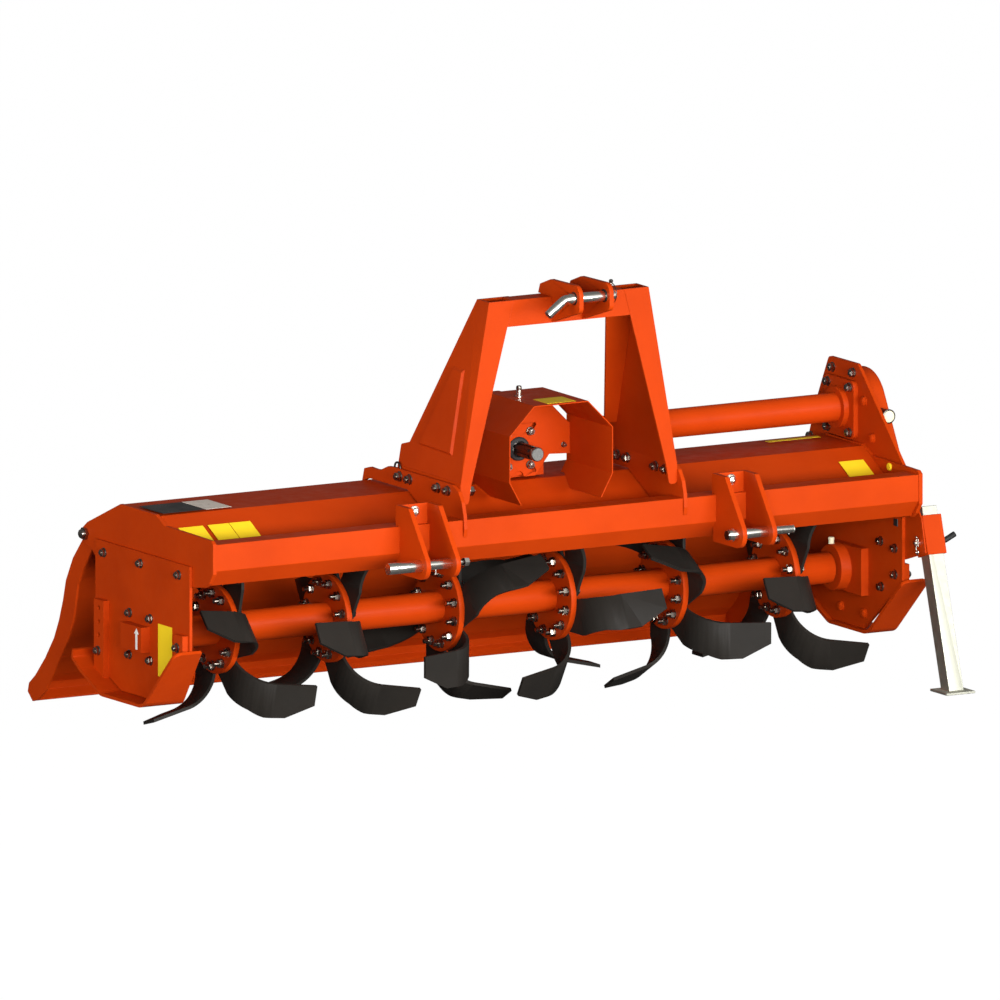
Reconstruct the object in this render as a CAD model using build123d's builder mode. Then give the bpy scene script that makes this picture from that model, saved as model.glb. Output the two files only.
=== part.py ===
from build123d import *
from math import cos, radians, sin, sqrt, tan
import os

# A three-point-hitch rotary tiller, standing on its rotor and its front parking stand.
# Millimetres. +X points across the machine to the side drive, +Y to the rear and +Z up.
# "Left" and "right" in names are as seen from the front, so the side drive is on the right.
# The origin is on the ground below the middle of the machine, and X = 0 is the hitch
# centre. Side outlines have corners (Y, Z) and front outlines (X, Z), from the rotor axis.
# A third number is the radius of a corner that is round.

os.makedirs("parts", exist_ok=True)

# ---- driving dimensions -------------------------------------------------------------
rotor_height = 245          # rotor axis above the ground as it parks
rotor_y = -32               # rotor axis from the middle of the machine's depth
body_left = -1005           # outer face of the left end plate
body_right = 965            # outer face of the right end plate
end_plate = 10              # thickness of the end plates
side_plate = 8              # thickness of the plates bolted on outside them
sheet = 4                   # hood and rear board
slack = 1                   # clearance of loose fits
seat = 0.3                  # clearance round a pin in its holes
running = 0.1               # clearance round a turning shaft
board_slack = 5             # rear board from the end plates

# hood and front beam, from the rotor axis
hood_top = 308
hood_flat = 94              # half depth of the flat top
hood_rear = (240, 243)
hood_front_z = 200
beam_front = -361
beam_rear = -304
beam_top = 278
beam_face_bottom = 213
beam_lip = (-325, 172)
beam_wall = 6

# rear board
hinge_y, hinge_z = 250, 214
hinge_bolt = 16
hinge_head = 8
hinge_end = 4               # bolt past the rear board's cheek
board_plate = 6
board_top = (263, 235)

# rotor
tube_d = 76
flange_d = 216
flange_plate = 15
flange_left = 209           # left face of the first flange from the left end plate
flange_right = 206          # left face of the last flange from the right end plate
flange_turns = [15, 0, -30, -60, -90, -120]     # each flange's blades about the axis, degrees
flange_first = body_left + flange_left
flange_pitch = (body_right - flange_right - flange_first) / (len(flange_turns) - 1)
blade_plate = 8
blade_lean = 30.5           # degrees from the bend's axis to the radius of the bolts
blade_straight = 91         # straight part of the leg, across the bend's axis
blade_bend = 90             # radius to the middle of the plate
blade_turn = 77             # degrees
blade_reach = 169           # tip of the wing from the middle of the leg's plate
blade_break = 175           # end of the leg's outline and start of the wing's
tube_wall = 10
stub_d = 45                 # stub shafts in the end bearings
rotor_gap_left = 45         # ends of the tube from the outer faces of the end plates
rotor_gap_right = 53
rotor_left = body_left + rotor_gap_left
rotor_right = body_right - rotor_gap_right
bearing_y = -22             # middle of the bearings' plates
stub_in = 40                # stub shafts inside the tube
cover_thick = 24            # cover over the left stub shaft, on the bearing plate
cover_wide, cover_high = 100, 62
cover_z = 4                 # its middle above the axis
bearing_gap = 5             # end of the tube from the collar
bearing_flange = 20         # plate of the right bearing
bearing_wide, bearing_high = 160, 116
bearing_collar = 112

# drive
cross_tube_d = 70
cross_tube_wall = 6
cross_tube_y, cross_tube_z = 20, 386
gearbox_z = 384             # height of the input shaft
gearbox_front = -92         # front of the guard's back plate, where the shaft's free end starts
gearbox_rear = 92
gearbox_half = 90
gearbox_top = 494
gearbox_cap = 15            # round cap behind the guard's back plate
gearbox_cap_d = 130
gearbox_cover = 14          # round covers at the back and on the left
gearbox_cover_d = 112
shield_front = -297         # input guard
shield_deep = 221
shield_top = 526
shield_sheet = 3
shield_half = 144           # half width
shield_gap = 3              # its foot above the hood
pto_end = -184
pto_d = 35
pto_seat_d = 50             # shaft in its bearing
pto_in = 40                 # depth of the input shaft in its bearing
case_thick = 55
case_edge = 8               # round edge of the drive case
case_y, case_top = 10, 480  # middle and height of its top
case_shoulder = 57          # half width of the top between its round corners
case_end = 95               # radius of these corners
case_foot = 92              # round foot
tube_flange = 142           # square flange of the cross tube on the drive plate
tube_flange_thick = 12
tube_flange_corner = 15
tube_collar_d = 100
tube_collar = 14
guard_plate = 5             # back plate of the input guard, on the front of the gearbox
guard_slot = 10
guard_slot_from = 46        # radial slots, from the shaft's axis
guard_slot_to = 76
guard_slot_turn = 52        # degrees from level
guard_hole = 58
guard_notch = 14            # radius of the notch below the shaft

# headstock
mast_front = -333
mast_top = 797
mast_foot = 357
mast_foot_half = 300.5
mast_top_half = 221.5
mast_sheet = 6
mast_flange_top = 68        # width of a leg's front flange
mast_flange_foot = 30
mast_tab = 22               # tab at the foot of the front flange
mast_back_top = 86          # width of a leg's rear flange
mast_rear_top = -275        # rear edge of the legs' webs
mast_rear_foot = (-67, 423)
mast_rear = -30             # rear end of the legs' feet
mast_heel = 56              # height of a foot's rear edge
tab_bottom = 310            # foot of the tabs
foot_bottom = 320           # foot of the plates that bolt the legs to the base plates
base_plate = 10             # plates between the legs and the hood
base_rear = 125
crossbar_bottom = 733
crossbar_deep = 52

# hitch
top_pin_y, top_pin_z = -440, 808
top_pin_d = 25
top_ear_inner = 36
top_ear_plate = 12
top_ear_nose = 27           # ear round the pin
top_pin_out = 14            # pin past the ears
top_handle_d = 22
top_handle_turn = 37        # degrees down from the pin's axis
top_handle = 58
low_pin_y, low_pin_z = -460, 197
low_pin_d = 28
low_plate = 12
low_pair = 83               # pitch of the two plates of a lower bracket
low_left_x = -486           # left faces of the two brackets
low_right_x = 392
low_pin_shank = 25          # where it passes through the plates
low_pin_free = 90           # free end of the left pin
low_pin_end_d = 12
low_pin_end = 39            # its inner end past the plates
low_stub = 27               # inner end of the right pin past its plates
low_thread_d = 20           # its threaded outer end
low_thread = 62
low_nose = 34               # bracket round the pin
low_cap = 328               # top of the brackets
low_cap_rear = -342
low_cap_front = -403
low_foot = 14               # foot of the brackets under the beam's lip, behind its face
low_reach = 65              # corner of the bracket's nose, which is rounded, from the pin
low_web = 8                 # tie between a bracket's plates

# skids
skid_out = 55               # how far they reach out from the side plates
skid_in_left = 55           # how far they reach in under the plates
skid_in_right = 20          # less, to clear the last blades
skid_nose_in = 18           # at the top of the nose
skid_plate = 8
skid_corner = 22
skid_bottom = -150
skid_heel_left = -135       # front end of the flat foot
skid_heel_right = -118
skid_front = (-288, 2)
strap_out = 16              # straps that bolt a skid to its side plate
strap_width = 46
strap_y = 146
strap_top = 70
strap_hole = 12
lug_y = -236
lug_width = 42
lug_top = 41

# stand
stand_tube = 40
stand_wall = 3
stand_sleeve_wall = 5
stand_lean = 17             # degrees
stand_plate = 4             # bracket between the side plate and the sleeve
stand_foot_y = -441
stand_foot = 80
stand_foot_plate = 6
stand_top = 187
sleeve_low = 74
sleeve_long = 96
stand_pin_d = 12
stand_pin_in = 24           # its end past the inner face of the leg
stand_pin_out = 13          # straight part past the outer face
stand_handle_d = 14
stand_handle = 30
stand_handle_turn = 26      # degrees up from the pin's axis

# ---- helpers ------------------------------------------------------------------------


def side(x):
    """Plane across the machine at x: its axes are Y and Z from the rotor axis."""
    return Plane(origin=(x, rotor_y, rotor_height), x_dir=(0, 1, 0), z_dir=(1, 0, 0))


def front(y):
    """Plane facing the tractor at y: its axes are X and Z from the rotor axis."""
    return Plane(origin=(0, rotor_y + y, rotor_height), x_dir=(1, 0, 0), z_dir=(0, -1, 0))


def level(z):
    """Level plane at z above the rotor axis: its axes are X and Y."""
    return Plane(origin=(0, rotor_y, rotor_height + z))


def radii(points):
    return [point[2] if len(point) > 2 else 0 for point in points]


def sheet_section(points, thickness, to=Side.LEFT):
    """Section of a folded sheet, to one side of the line through its bends."""
    with BuildLine() as fold:
        FilletPolyline(*[point[:2] for point in points], radius=radii(points[1:-1]))
        offset(amount=thickness, side=to)
    make_face(fold.edges())


def outline(points):
    """Flat plate with straight edges between its corners."""
    with BuildLine() as edge:
        FilletPolyline(*[point[:2] for point in points], radius=radii(points), close=True)
    make_face(edge.edges())


def bent_rod(corners, radius, diameter):
    """Round rod along straight runs with bends between."""
    with BuildLine() as path:
        FilletPolyline(*corners, radius=radius)
    with BuildSketch(Plane(origin=path.line @ 0, z_dir=path.line % 0)) as section:
        Circle(diameter / 2)
    sweep(section.sketch, path=path.line)


pieces = {}

# ---- hood, beam and end plates ------------------------------------------------------
inner_left = body_left + end_plate
inner_right = body_right - end_plate
inner_width = inner_right - inner_left

hood_bends = [hood_rear, (hood_flat, hood_top), (-hood_flat, hood_top), (beam_rear, hood_front_z)]
with BuildPart() as hood_deck:
    with BuildSketch(side(inner_left)):
        sheet_section(hood_bends, sheet)
    extrude(amount=inner_width)
    split(bisect_by=Plane(origin=(0, rotor_y + beam_rear, 0), z_dir=(0, 1, 0)))
pieces["hood_deck"] = hood_deck

with BuildPart() as front_beam:
    with BuildSketch(side(inner_left)):
        outline([(beam_rear, beam_top), (beam_front, beam_top), (beam_front, beam_face_bottom),
                 beam_lip, (beam_rear, beam_lip[1])])
        offset(amount=-beam_wall, kind=Kind.INTERSECTION, mode=Mode.SUBTRACT)
    extrude(amount=inner_width)
pieces["front_beam"] = front_beam

end_outline = [(243, 243), (84, 311), (-86, 311), (-132, 290), (-353, 287), (-363, 280),
               (-363, 206), (-344, 181), (-325, 169), (-276, 161), (190, 150), (215, 176), (266, 200),
               (268, 225)]
for name, x in [("left_end_plate", body_left), ("right_end_plate", inner_right)]:
    with BuildPart() as plate:
        with BuildSketch(side(x)):
            outline(end_outline)
            with Locations((hinge_y, hinge_z)):
                Circle(hinge_bolt / 2 + seat, mode=Mode.SUBTRACT)
        extrude(amount=end_plate)
    pieces[name] = plate

# ---- side plates, skids, bearings ---------------------------------------------------
plate_left = body_left - side_plate
plate_right = body_right + side_plate
stub_left = plate_left - cover_thick / 2
stub_right = body_right
foot_outline = [(-264, -4), (-80, -141), (66, -141), (152, -103), (190, -72)]     # both plates
bearing_outline = [(190, 211), (-264, 211)] + foot_outline
with BuildPart() as left_bearing_plate:
    with BuildSketch(side(plate_left)):
        outline(bearing_outline)
        Circle(stub_d / 2 + running, mode=Mode.SUBTRACT)
    extrude(amount=side_plate)
pieces["left_bearing_plate"] = left_bearing_plate

drive_outline = [(89, 499, 15), (-50, 500, 15), (-272, 282), (-264, 200)] + foot_outline
drive_outline += [(190, 230), (181, 305), (142, 398)]
with BuildPart() as right_drive_plate:
    with BuildSketch(side(body_right)):
        outline(drive_outline)
    extrude(amount=side_plate)
pieces["right_drive_plate"] = right_drive_plate

case_outline = [(case_y - case_shoulder, case_top, case_end),
                (case_y + case_shoulder, case_top, case_end), (188, 262, 45), (112, 80, 60),
                (97, -97, case_foot), (-97, -97, case_foot), (-112, 80, 60), (-168, 262, 45)]
with BuildPart() as drive_case:
    with BuildSketch(side(plate_right)):
        outline(case_outline)
    extrude(amount=case_thick)
    fillet(drive_case.faces().sort_by(Axis.X)[-1].edges(), case_edge)
pieces["drive_case"] = drive_case

skid_tail = [(206, -55), (212, -78, 12), (168, -106, 30), (72, skid_bottom, 50)]
strap_holes = [50, 17, -16]     # heights of the spare holes of a rear strap


def skid_middle(bends, y):
    """Height at y inside a skid's plate, whose underside runs through its bends."""
    for (rear_y, rear_z, *_), (front_y, front_z, *_) in zip(bends, bends[1:]):
        if front_y <= y <= rear_y:
            return front_z + (rear_z - front_z) * (y - front_y) / (rear_y - front_y) + skid_plate / 2


def strap(bends, y, width, top):
    """Outline of a strap from the skid up the side plate."""
    ahead, behind = y - width / 2, y + width / 2
    outline([(ahead, skid_middle(bends, ahead)), (behind, skid_middle(bends, behind)),
             (behind, top), (ahead, top)])


# skid: outer face of its side plate, way out, reach in under the plate, heel
for name, face, out, reach_in, heel in [("left_skid", plate_left, -1, skid_in_left, skid_heel_left),
                                        ("right_skid", plate_right, 1, skid_in_right, skid_heel_right)]:
    skid_bends = skid_tail + [(heel, skid_bottom, 60), skid_front]
    with BuildPart() as skid:
        with BuildSketch(side(face - out * reach_in)):
            sheet_section(skid_bends, skid_plate, Side.RIGHT)
        extrude(amount=out * (skid_out + reach_in))
        ends = skid.edges().filter_by(lambda edge: abs(edge.length - skid_plate) < 0.01)
        fillet(ends.sort_by(Axis.Y)[:2], skid_corner)
        # its nose is narrower: the inner edge runs out from the flat foot to the nose's top
        inner_edge, nose_edge = face - out * reach_in, face - out * skid_nose_in
        nose_y = skid_front[0] - skid_plate
        with BuildSketch(level(skid_bottom - skid_plate)):
            outline([(inner_edge, heel), (nose_edge, nose_y), (inner_edge - out * skid_plate, nose_y),
                     (inner_edge - out * skid_plate, heel)])
        extrude(amount=skid_front[1] - skid_bottom + 3 * skid_plate, mode=Mode.SUBTRACT)
        with BuildSketch(side(face)):
            strap(skid_bends, strap_y, strap_width, strap_top)
            for z in strap_holes:
                with Locations((strap_y, z)):
                    Circle(strap_hole / 2, mode=Mode.SUBTRACT)
            strap(skid_bends, lug_y, lug_width, lug_top)
        extrude(amount=out * strap_out)
    pieces[name] = skid

with BuildPart() as left_bearing:
    with BuildSketch(side(plate_left - cover_thick)):
        with Locations((bearing_y, cover_z)):
            Rectangle(cover_wide, cover_high)
    extrude(amount=cover_thick)
    with BuildSketch(side(stub_left - slack)):
        Circle(stub_d / 2 + running)
    extrude(amount=plate_left - stub_left + slack, mode=Mode.SUBTRACT)
pieces["left_bearing"] = left_bearing

with BuildPart() as right_bearing:
    with BuildSketch(side(body_right - bearing_flange)):
        with Locations((bearing_y, 0)):
            Rectangle(bearing_wide, bearing_high)
    extrude(amount=bearing_flange)
    with BuildSketch(side(rotor_right + bearing_gap)):
        Circle(bearing_collar / 2)
    extrude(amount=body_right - bearing_flange - rotor_right - bearing_gap)
    with BuildSketch(side(rotor_right)):
        Circle(stub_d / 2 + running)
    extrude(amount=body_right - rotor_right, mode=Mode.SUBTRACT)
pieces["right_bearing"] = right_bearing

# ---- rotor --------------------------------------------------------------------------
with BuildPart() as rotor_tube:
    with BuildSketch(side(rotor_left)):
        Circle(tube_d / 2)
        Circle(tube_d / 2 - tube_wall, mode=Mode.SUBTRACT)
    extrude(amount=rotor_right - rotor_left)
    for x, end in [(rotor_left + stub_in, stub_left), (rotor_right - stub_in, stub_right - slack)]:
        with BuildSketch(side(x)):
            Circle(tube_d / 2 - tube_wall)
        extrude(amount=(stub_in if end > x else -stub_in))
        with BuildSketch(side(x)):
            Circle(stub_d / 2)
        extrude(amount=end - x)
pieces["rotor_tube"] = rotor_tube


flange_faces = [flange_first + i * flange_pitch for i in range(len(flange_turns))]
with BuildPart() as rotor_flanges:
    for x in flange_faces:
        with BuildSketch(side(x)):
            Circle(flange_d / 2)
            Circle(tube_d / 2, mode=Mode.SUBTRACT)
        extrude(amount=flange_plate)
pieces["rotor_flanges"] = rotor_flanges

# A blade points up (+Z) here, with its leg against the plane X = 0 and its cutting edge
# leading to -Y. Across the bend's axis runs `over`, along it `along`.
over = Vector(0, cos(radians(blade_lean)), sin(radians(blade_lean)))
along = Vector(0, -sin(radians(blade_lean)), cos(radians(blade_lean)))
# outlines of the flat plate: (over, along) on the leg and (X, along) on the wing
cut_back, cut_edge = 73, 162        # along the axis: the plate's back and its cutting edge
leg_outline = [(4, 74), (12, 98), (40, 113), (80, 136), (151, 150), (blade_break, cut_edge),
               (blade_break, cut_back), (63, 37)]
wing_tip = blade_reach + blade_plate / 2
wing_outline = [(0, cut_edge), (104, cut_edge), (wing_tip, 129), (wing_tip, 77), (64, cut_back),
                (0, cut_back)]
wing_run = 140              # past the bend, cut off by the outline
blade_start = 20            # the leg's plate before the axis, cut off likewise
with BuildPart() as blade_blank:
    with BuildSketch(Plane(origin=(0, 0, 0), x_dir=over, z_dir=(1, 0, 0))):
        outline(leg_outline)
    extrude(amount=blade_reach)
    with BuildSketch(Plane(origin=over * blade_break, x_dir=(1, 0, 0), z_dir=-over)):
        outline(wing_outline)
    extrude(amount=-blade_bend)
with BuildPart() as blade:
    with BuildSketch(Plane(origin=(0, 0, 0), x_dir=(1, 0, 0), z_dir=along)):
        with BuildLine():
            outer_leg = Line((0, -blade_start), (0, blade_straight))
            outer_bend = JernArc(outer_leg @ 1, outer_leg % 1, blade_bend + blade_plate / 2, -blade_turn)
            outer_wing = Line(outer_bend @ 1, outer_bend @ 1 + (outer_bend % 1) * wing_run)
            inner_leg = Line((blade_plate, -blade_start), (blade_plate, blade_straight))
            inner_bend = JernArc(inner_leg @ 1, inner_leg % 1, blade_bend - blade_plate / 2, -blade_turn)
            inner_wing = Line(inner_bend @ 1, inner_bend @ 1 + (inner_bend % 1) * wing_run)
            Line(outer_leg @ 0, inner_leg @ 0)
            Line(outer_wing @ 1, inner_wing @ 1)
        make_face()
    extrude(amount=blade_break)
    add(blade_blank.part, mode=Mode.INTERSECT)

left_blade = mirror(blade.part, about=Plane.YZ.offset(blade_plate / 2))

# blades round a flange: direction of the leg from the front, and the side that it reaches
blade_roots = [(-90, 1), (-30, -1), (30, 1), (90, -1), (150, 1), (210, -1)]
for index, (face, turn) in enumerate(zip(flange_faces, flange_turns)):
    with BuildPart() as blade_set:
        for root, reach in blade_roots:
            one = blade.part if reach > 0 else left_blade
            hub = Location((face + flange_plate, rotor_y, rotor_height))
            add(hub * Rotation(90 - root - turn, 0, 0) * one)
    pieces[f"blade_set_{index + 1}"] = blade_set

# ---- rear board ---------------------------------------------------------------------
board_left = inner_left + board_slack
board_right = inner_right - board_slack
# bends of the sheet from the hinge down, and the inner edge of a cheek from the foot up
board_bends = [board_top, (284, 200), (338, 140), (372, 80), (386, 29), (405, -22), (429, -69),
               (471, -124), (519, -174), (549, -197), (555, -219), (531, -240)]
board_inner = [(507, -233), (465, -202), (429, -154), (362, -65), (338, -18), (326, 26), (314, 77),
               (290, 117), (254, 165), (230, 192), (232, 222), (250, 235)]
with BuildPart() as board_sheet:
    with BuildSketch(side(board_left + board_plate)):
        sheet_section(board_bends, sheet, Side.RIGHT)
    extrude(amount=board_right - board_left - 2 * board_plate)
pieces["board_sheet"] = board_sheet
for name, x in [("left_board_cheek", board_left), ("right_board_cheek", board_right - board_plate)]:
    with BuildPart() as cheek:
        with BuildSketch(side(x)):
            outline(board_bends + board_inner)
            with Locations((hinge_y, hinge_z)):
                Circle(hinge_bolt / 2 + seat, mode=Mode.SUBTRACT)
        extrude(amount=board_plate)
    pieces[name] = cheek

with BuildPart() as hinge_bolts:
    for x, inward in [(body_left, 1), (body_right, -1)]:
        with BuildSketch(side(x - inward * hinge_head)):
            with Locations((hinge_y, hinge_z)):
                RegularPolygon(hinge_bolt, 6)
        extrude(amount=inward * hinge_head)
        with BuildSketch(side(x)):
            with Locations((hinge_y, hinge_z)):
                Circle(hinge_bolt / 2)
        extrude(amount=inward * (end_plate + board_slack + board_plate + hinge_end))
pieces["hinge_bolts"] = hinge_bolts

# ---- gearbox, drive tube, shaft, shield -----------------------------------------------
gearbox_outline = [(-80, hood_top + sheet), (-80, 360), (-gearbox_half, 374),
                   (-gearbox_half, 445, 20), (-58, gearbox_top, 20), (58, gearbox_top, 20),
                   (gearbox_half, 445, 20), (gearbox_half, 374), (80, 360), (80, hood_top + sheet)]
gearbox_face = gearbox_front + guard_plate
with BuildPart() as gearbox:
    with BuildSketch(front(gearbox_face + gearbox_cap)):
        outline(gearbox_outline)
    extrude(amount=gearbox_face + gearbox_cap - gearbox_rear)
    for y, depth, diameter in [(gearbox_face, -gearbox_cap, gearbox_cap_d),
                               (gearbox_rear, gearbox_cover, gearbox_cover_d)]:
        with BuildSketch(front(y)):
            with Locations((0, gearbox_z)):
                Circle(diameter / 2)
        extrude(amount=depth)
    with BuildSketch(side(-gearbox_half)):
        with Locations((cross_tube_y, cross_tube_z)):
            Circle(gearbox_cover_d / 2)
    extrude(amount=-gearbox_cover)
    with BuildSketch(front(gearbox_face)):
        with Locations((0, gearbox_z)):
            Circle(pto_seat_d / 2 + running)
    extrude(amount=-(pto_in - guard_plate + slack), mode=Mode.SUBTRACT)
pieces["gearbox"] = gearbox

with BuildPart() as pto_shaft:
    with BuildSketch(front(pto_end)):
        with Locations((0, gearbox_z)):
            Circle(pto_d / 2)
    extrude(amount=pto_end - gearbox_front)
    with BuildSketch(front(gearbox_front)):
        with Locations((0, gearbox_z)):
            Circle(pto_seat_d / 2)
    extrude(amount=-pto_in)
pieces["pto_shaft"] = pto_shaft

tube_end = body_right - tube_flange_thick
with BuildPart() as cross_tube:
    with BuildSketch(side(gearbox_half)):
        with Locations((cross_tube_y, cross_tube_z)):
            Circle(cross_tube_d / 2)
            Circle(cross_tube_d / 2 - cross_tube_wall, mode=Mode.SUBTRACT)
    extrude(amount=body_right - gearbox_half)
    for x, thick, diameter in [(gearbox_half, gearbox_cover, gearbox_cover_d),
                               (tube_end - tube_collar, tube_collar, tube_collar_d)]:
        with BuildSketch(side(x)):
            with Locations((cross_tube_y, cross_tube_z)):
                Circle(diameter / 2)
                Circle(cross_tube_d / 2 - cross_tube_wall, mode=Mode.SUBTRACT)
        extrude(amount=thick)
    with BuildSketch(side(tube_end)):
        with Locations((cross_tube_y, cross_tube_z)):
            RectangleRounded(tube_flange, tube_flange, tube_flange_corner)
            Circle(cross_tube_d / 2 - cross_tube_wall, mode=Mode.SUBTRACT)
    extrude(amount=tube_flange_thick)
pieces["cross_tube"] = cross_tube

hood_clear = sheet + shield_gap
shield_bends = [(-112, 286), (-shield_half, 343), (-shield_half, 457), (-75, shield_top),
                (75, shield_top), (shield_half, 457), (shield_half, 343), (112, 286)]
guard_side = shield_half - shield_sheet / 2
guard_foot = hood_top + hood_clear
guard_outline = [(46, guard_foot), (85, 364), (guard_side, 361), (guard_side, 434), (82, 494),
                 (-82, 494), (-guard_side, 434), (-guard_side, 361), (-85, 364), (-46, guard_foot)]
with BuildPart() as pto_shield:
    with BuildSketch(front(shield_front)):
        sheet_section(shield_bends, shield_sheet, Side.RIGHT)
    extrude(amount=-shield_deep)
    with BuildSketch(side(-shield_half - 1)):
        outline([(beam_rear, hood_front_z), (beam_rear, hood_front_z + hood_clear),
                 (-hood_flat, guard_foot), (hood_flat, guard_foot), (hood_flat, hood_front_z)])
    extrude(amount=2 * shield_half + 2, mode=Mode.SUBTRACT)
    with BuildSketch(front(gearbox_front)):
        outline(guard_outline)
        with Locations((0, guard_foot)):
            Circle(guard_notch, mode=Mode.SUBTRACT)
        with Locations((0, gearbox_z)):
            Circle(guard_hole / 2, mode=Mode.SUBTRACT)
        for turn in [guard_slot_turn, 180 - guard_slot_turn, 180 + guard_slot_turn, -guard_slot_turn]:
            reach = (guard_slot_from + guard_slot_to) / 2
            with Locations((reach * cos(radians(turn)), gearbox_z + reach * sin(radians(turn)))):
                SlotOverall(guard_slot_to - guard_slot_from, guard_slot, rotation=turn,
                            mode=Mode.SUBTRACT)
    extrude(amount=-guard_plate)
pieces["pto_shield"] = pto_shield

# ---- headstock ------------------------------------------------------------------------
web_outline = [(mast_front, mast_foot), (mast_rear, mast_foot), (mast_rear, mast_foot + mast_heel, 6),
               mast_rear_foot, (mast_rear_top, mast_top), (mast_front, mast_top)]
inner_foot = mast_foot_half - mast_flange_foot
inner_top = mast_top_half - mast_flange_top
front_flange = [(mast_foot_half, tab_bottom, 8), (mast_foot_half - mast_tab, tab_bottom, 8),
                (inner_foot, mast_foot), (inner_top, mast_top), (mast_top_half, mast_top),
                (mast_foot_half, mast_foot)]
# the web and the rear flange lean with the front flange: each is cut from a straight blank
with BuildPart() as web:
    with BuildSketch(side(0)):
        outline(web_outline)
    extrude(amount=mast_foot_half)
    with BuildSketch(front(mast_front)):
        outline([(mast_foot_half, mast_foot), (mast_foot_half - mast_sheet, mast_foot),
                 (mast_top_half - mast_sheet, mast_top), (mast_top_half, mast_top)])
    extrude(amount=mast_front, mode=Mode.INTERSECT)
with BuildPart() as rear_flange:
    with BuildSketch(side(0)):
        rear_y, rear_z = mast_rear_foot
        outline([mast_rear_foot, (mast_rear_top, mast_top), (mast_rear_top - mast_sheet, mast_top),
                 (rear_y - mast_sheet, rear_z)])
    extrude(amount=mast_foot_half)
    with BuildSketch(front(mast_front)):
        outline([(mast_foot_half, mast_foot), (inner_foot, mast_foot),
                 (mast_top_half - mast_back_top, mast_top), (mast_top_half, mast_top)])
    extrude(amount=mast_front, mode=Mode.INTERSECT)
with BuildPart() as leg:
    with BuildSketch(front(mast_front)):
        outline(front_flange)
    extrude(amount=-mast_sheet)
    add(web.part)
    add(rear_flange.part)
    # foot plate, which is bolted to the inner face of the base plate
    with BuildSketch(side(mast_foot_half - mast_sheet)):
        outline([(mast_front, foot_bottom), (mast_rear, foot_bottom), (mast_rear, mast_foot + mast_sheet),
                 (mast_front, mast_foot + mast_sheet)])
    extrude(amount=mast_sheet)
pieces["headstock_right_leg"] = leg
with BuildPart() as left_leg:
    mirror(leg.part, about=Plane.YZ)
pieces["headstock_left_leg"] = left_leg

inner_lean = (inner_foot - inner_top) / (mast_top - mast_foot)
bar_top_half = inner_top
bar_low_half = bar_top_half + inner_lean * (mast_top - crossbar_bottom)
with BuildPart() as crossbar:
    with BuildSketch(front(mast_front)):
        outline([(-bar_top_half, mast_top), (bar_top_half, mast_top), (bar_low_half, crossbar_bottom),
                 (-bar_low_half, crossbar_bottom)])
    extrude(amount=-crossbar_deep)
    with BuildSketch(side(-mast_foot_half)):
        with Locations((mast_front + crossbar_deep / 2, (mast_top + crossbar_bottom) / 2)):
            Rectangle(crossbar_deep - 2 * mast_sheet, mast_top - crossbar_bottom - 2 * mast_sheet)
    extrude(amount=2 * mast_foot_half, mode=Mode.SUBTRACT)
pieces["headstock_crossbar"] = crossbar

# the base plates stand on the hood and reach over its rear bend
rear_slope = (hood_top - hood_rear[1]) / (hood_rear[0] - hood_flat)
rear_end_z = hood_top + sheet * sqrt(1 + rear_slope ** 2) - rear_slope * (base_rear - hood_flat) + seat
base_outline = [(hood_flat + slack, hood_top + sheet), (base_rear, rear_end_z), (114, 333), (88, 340),
                (57, 339), (35, 341), (16, 349), (0, 355), (mast_rear, mast_foot), (-311, mast_foot),
                (-338, 344), (-355, 320), (-364, 290), (-368, 256), (-363, 236), (beam_front, beam_top),
                (beam_rear, beam_top), (beam_rear, hood_front_z + sheet + 2),
                (-hood_flat, hood_top + sheet)]
for name, x in [("left_base_plate", -mast_foot_half - base_plate), ("right_base_plate", mast_foot_half)]:
    with BuildPart() as base:
        with BuildSketch(side(x)):
            outline(base_outline)
        extrude(amount=base_plate)
    pieces[name] = base

ear_outline = [(-267, mast_top), (-276, 820), (-326, 838), (top_pin_y - top_ear_nose, 841, top_ear_nose),
               (top_pin_y - top_ear_nose, 777, 14), (mast_front, 735), (mast_front, mast_top)]
with BuildPart() as top_link_ears:
    for x in [-top_ear_inner - top_ear_plate, top_ear_inner]:
        with BuildSketch(side(x)):
            outline(ear_outline)
            with Locations((top_pin_y, top_pin_z)):
                Circle(top_pin_d / 2 + seat, mode=Mode.SUBTRACT)
        extrude(amount=top_ear_plate)
pieces["top_link_ears"] = top_link_ears

top_pin_end = top_ear_inner + top_ear_plate + top_pin_out
pin_y, pin_z = rotor_y + top_pin_y, rotor_height + top_pin_z
with BuildPart() as top_link_pin:
    with BuildSketch(side(-top_pin_end)):
        with Locations((top_pin_y, top_pin_z)):
            Circle(top_pin_d / 2)
    extrude(amount=2 * top_pin_end)
    elbow = -top_pin_end - top_handle_d / 2
    bent_rod([(-top_pin_end + 1, pin_y, pin_z), (elbow, pin_y, pin_z),
              (elbow - top_handle * cos(radians(top_handle_turn)), pin_y,
               pin_z - top_handle * sin(radians(top_handle_turn)))], top_handle_d, top_handle_d)
pieces["top_link_pin"] = top_link_pin

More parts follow.
